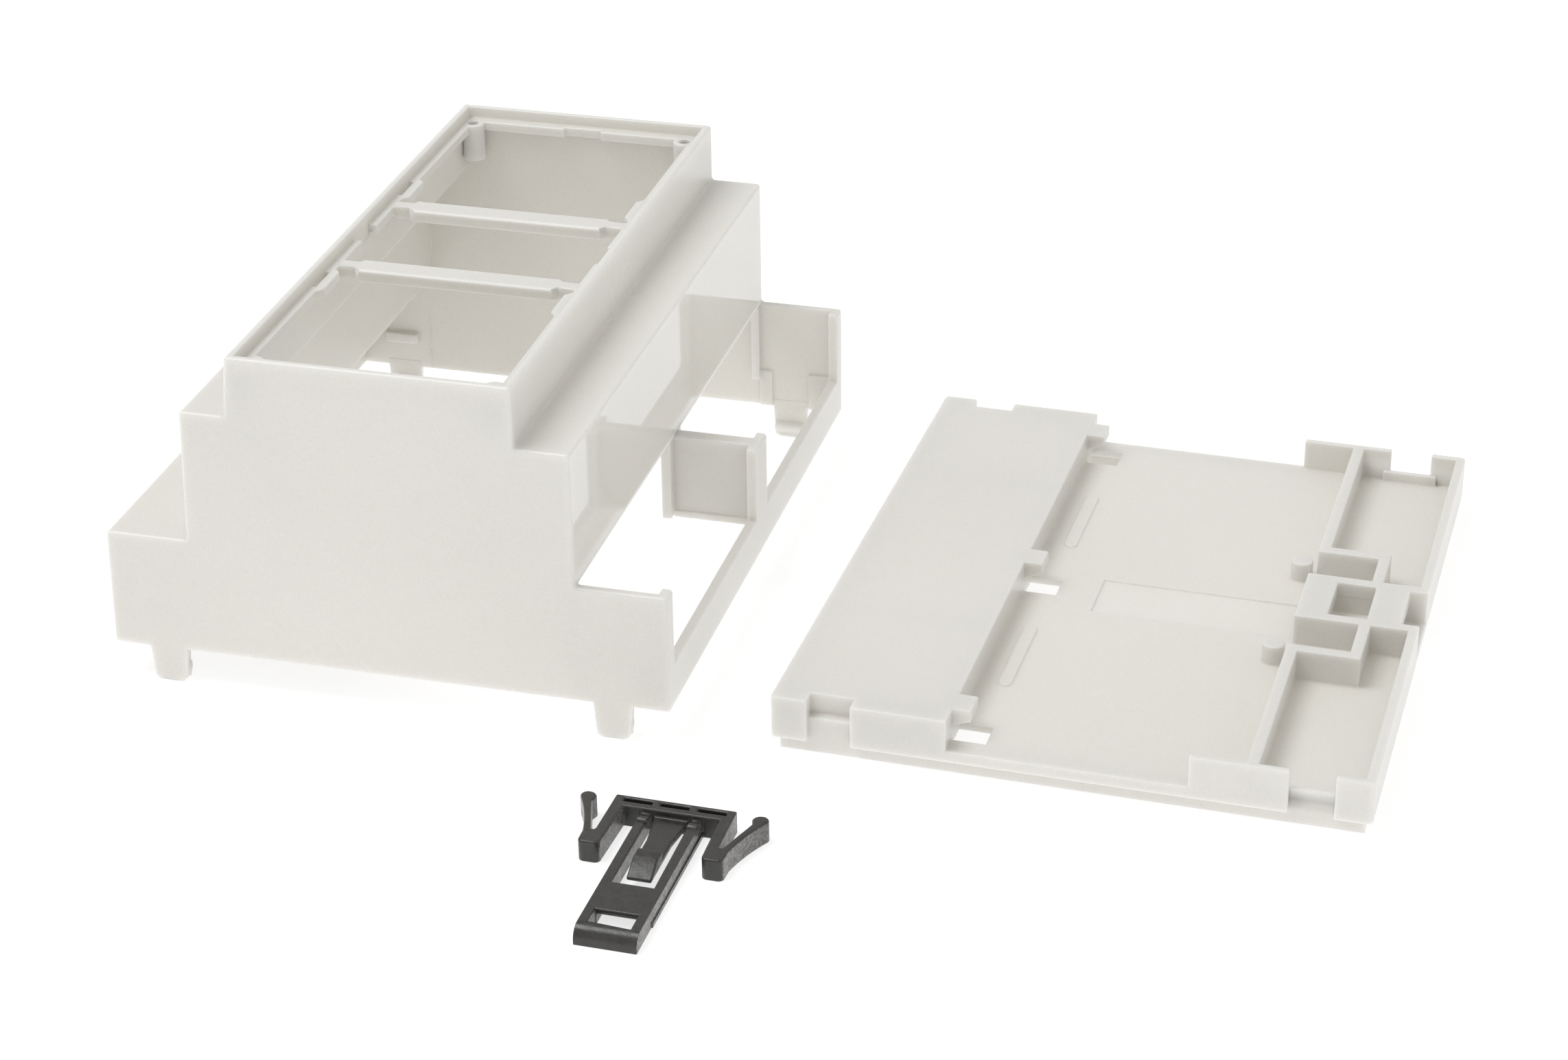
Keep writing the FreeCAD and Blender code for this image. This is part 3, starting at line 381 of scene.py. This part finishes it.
def stripTree():
    # Upright four-sided strips in a row along Y
    tree = bpy.data.node_groups.new("witnessStrips", "GeometryNodeTree")
    kinds = {"Geometry": "NodeSocketGeometry", "Count": "NodeSocketInt", "Spacing": "NodeSocketFloat",
             "Half": "NodeSocketFloat", "Height": "NodeSocketFloat", "Material": "NodeSocketMaterial"}
    for label, kind in kinds.items():
        tree.interface.new_socket(label, in_out="INPUT", socket_type=kind)
    tree.interface.new_socket("Strips", in_out="OUTPUT", socket_type="NodeSocketGeometry")
    given, out, step, row, strip, place, solid, paint = (tree.nodes.new(kind) for kind in (
        "NodeGroupInput", "NodeGroupOutput", "ShaderNodeCombineXYZ", "GeometryNodeMeshLine",
        "GeometryNodeMeshCylinder", "GeometryNodeInstanceOnPoints", "GeometryNodeRealizeInstances",
        "GeometryNodeSetMaterial"))
    strip.inputs["Vertices"].default_value = 4
    for source, target in (
            (given.outputs["Spacing"], step.inputs["Y"]),
            (given.outputs["Count"], row.inputs["Count"]),
            (step.outputs["Vector"], row.inputs["Offset"]),
            (given.outputs["Half"], strip.inputs["Radius"]),
            (given.outputs["Height"], strip.inputs["Depth"]),
            (row.outputs["Mesh"], place.inputs["Points"]),
            (strip.outputs["Mesh"], place.inputs["Instance"]),
            (place.outputs["Instances"], solid.inputs["Geometry"]),
            (solid.outputs["Geometry"], paint.inputs["Geometry"]),
            (given.outputs["Material"], paint.inputs["Material"]),
            (paint.outputs["Geometry"], out.inputs["Strips"])):
        tree.links.new(source, target)
    return tree


def insertLines(name, mat):
    look = insertLine
    low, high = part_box("housing")
    piece = bpy.data.objects.new(name, bpy.data.meshes.new(name))
    bpy.context.scene.collection.objects.link(piece)
    rule = piece.modifiers.new("witnessStrips", "NODES")
    rule.node_group = stripTree()
    values = {
        "Count": look["count"],
        "Spacing": high.y - low.y - 2 * look["wall"],
        "Half": look["half"],
        "Height": look["high"] - look["low"],
        "Material": mat,
    }
    for item in rule.node_group.interface.items_tree:
        if item.name in values:
            rule[item.identifier] = values[item.name]
    evaluated = piece.evaluated_get(bpy.context.evaluated_depsgraph_get())
    mesh = bpy.data.meshes.new_from_object(evaluated)
    piece.modifiers.clear()
    mesh.transform(Matrix.Translation((low.x + look["fromLeft"], low.y + look["wall"],
                                       (look["low"] + look["high"]) / 2)))
    piece.data = mesh
    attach(piece, "root")
    return piece


lines = insertLines("insertLines", greyPaintedHighlight)
print("insert line faces:", len(lines.data.polygons))


# Table and studio

studio = {
    "tableSize": 30.0,
    "table": {"colour": 0.66, "glow": 0.62},  # the table is a dim light panel
    "tableShown": {"colour": 0.42, "glow": 0.72},  # as the camera and the reflections see it
    "dome": 0.62,
    "key": {"place": (-0.60, -0.12, 1.35), "size": 0.75, "power": 9.3},
    "fill": {"place": (1.15, -0.25, 0.50), "size": 0.9, "power": 1.0},
}
white = (1, 1, 1, 1)


def mattPanel(mat, look):
    # A matt surface that also gives off light
    matt = addNode(mat, "ShaderNodeBsdfDiffuse")
    matt.inputs["Color"].default_value = (look["colour"],) * 3 + (1,)
    glow = addNode(mat, "ShaderNodeEmission")
    glow.inputs["Strength"].default_value = look["glow"]
    both = addNode(mat, "ShaderNodeAddShader")
    join(mat, matt.outputs[0], both.inputs[0])
    join(mat, glow.outputs[0], both.inputs[1])
    return both.outputs[0]


def whiteTable():
    size = studio["tableSize"] / 2
    mesh = bpy.data.meshes.new("whiteTable")
    corners = [(-size, -size, 0), (size, -size, 0), (size, size, 0), (-size, size, 0)]
    mesh.from_pydata(corners, [], [(0, 1, 2, 3)])
    table = bpy.data.objects.new("whiteTable", mesh)
    bpy.context.scene.collection.objects.link(table)
    mat, surface = newMaterial("tableWhite")
    path = addNode(mat, "ShaderNodeLightPath")
    mix = addNode(mat, "ShaderNodeMixShader")
    seen = mathNode(mat, "MAXIMUM", path.outputs["Is Camera Ray"], path.outputs["Is Glossy Ray"])
    join(mat, seen, mix.inputs[0])
    join(mat, mattPanel(mat, studio["table"]), mix.inputs[1])
    join(mat, mattPanel(mat, studio["tableShown"]), mix.inputs[2])
    join(mat, mix.outputs[0], surface)
    mesh.materials.append(mat)


def softDome():
    # A dim dome lights the pieces, and the camera sees it as plain white
    world = bpy.data.worlds.new("softDome")
    bpy.context.scene.world = world
    world.use_nodes = True
    world.node_tree.nodes.clear()
    out = addNode(world, "ShaderNodeOutputWorld")
    path = addNode(world, "ShaderNodeLightPath")
    mix = addNode(world, "ShaderNodeMixShader")
    join(world, path.outputs["Is Camera Ray"], mix.inputs[0])
    for socket, strength in ((mix.inputs[1], studio["dome"]), (mix.inputs[2], 1.0)):
        sky = addNode(world, "ShaderNodeBackground")
        sky.inputs["Color"].default_value = white
        sky.inputs["Strength"].default_value = strength
        join(world, sky.outputs[0], socket)
    join(world, mix.outputs[0], out.inputs["Surface"])


def softBox(name):
    look = studio[name]
    lamp = bpy.data.lights.new(name + "Light", "AREA")
    lamp.size = look["size"]
    lamp.energy = look["power"]
    box = bpy.data.objects.new(name + "Light", lamp)
    place = Vector(look["place"])
    box.location = place
    box.rotation_euler = (-place).to_track_quat("-Z", "Y").to_euler()
    bpy.context.scene.collection.objects.link(box)


whiteTable()
softDome()
softBox("key")
softBox("fill")
print("studio ready")


# Camera, found from the straight edges of the photograph

view = {
    "place": (0.12374, -0.45044, 0.27303),
    "azimuth": math.radians(-15.192),
    "down": math.radians(28.114),
    "roll": math.radians(-0.669),
    "focalPixels": 5031.3,
    "photoWidth": 2285,
    "sensor": 36.0,
    "clipStart": 0.01,
}


def photoCamera():
    data = bpy.data.cameras.new("photoCamera")
    data.sensor_width = view["sensor"]
    data.lens = view["focalPixels"] / view["photoWidth"] * view["sensor"]
    data.clip_start = view["clipStart"]
    azimuth, down, roll = view["azimuth"], view["down"], view["roll"]
    level = Vector((math.sin(azimuth), math.cos(azimuth), 0))
    ahead = level * math.cos(down) - Vector((0, 0, math.sin(down)))
    side = Vector((math.cos(azimuth), -math.sin(azimuth), 0))
    above = side.cross(ahead)
    across = math.cos(roll) * side + math.sin(roll) * above
    upward = math.cos(roll) * above - math.sin(roll) * side
    turn = Matrix((across, upward, -ahead)).transposed().to_4x4()
    camera = bpy.data.objects.new("photoCamera", data)
    camera.matrix_world = Matrix.Translation(view["place"]) @ turn
    bpy.context.scene.collection.objects.link(camera)
    bpy.context.scene.camera = camera


photoCamera()
bpy.context.scene.view_settings.view_transform = "Standard"
print("camera ready")
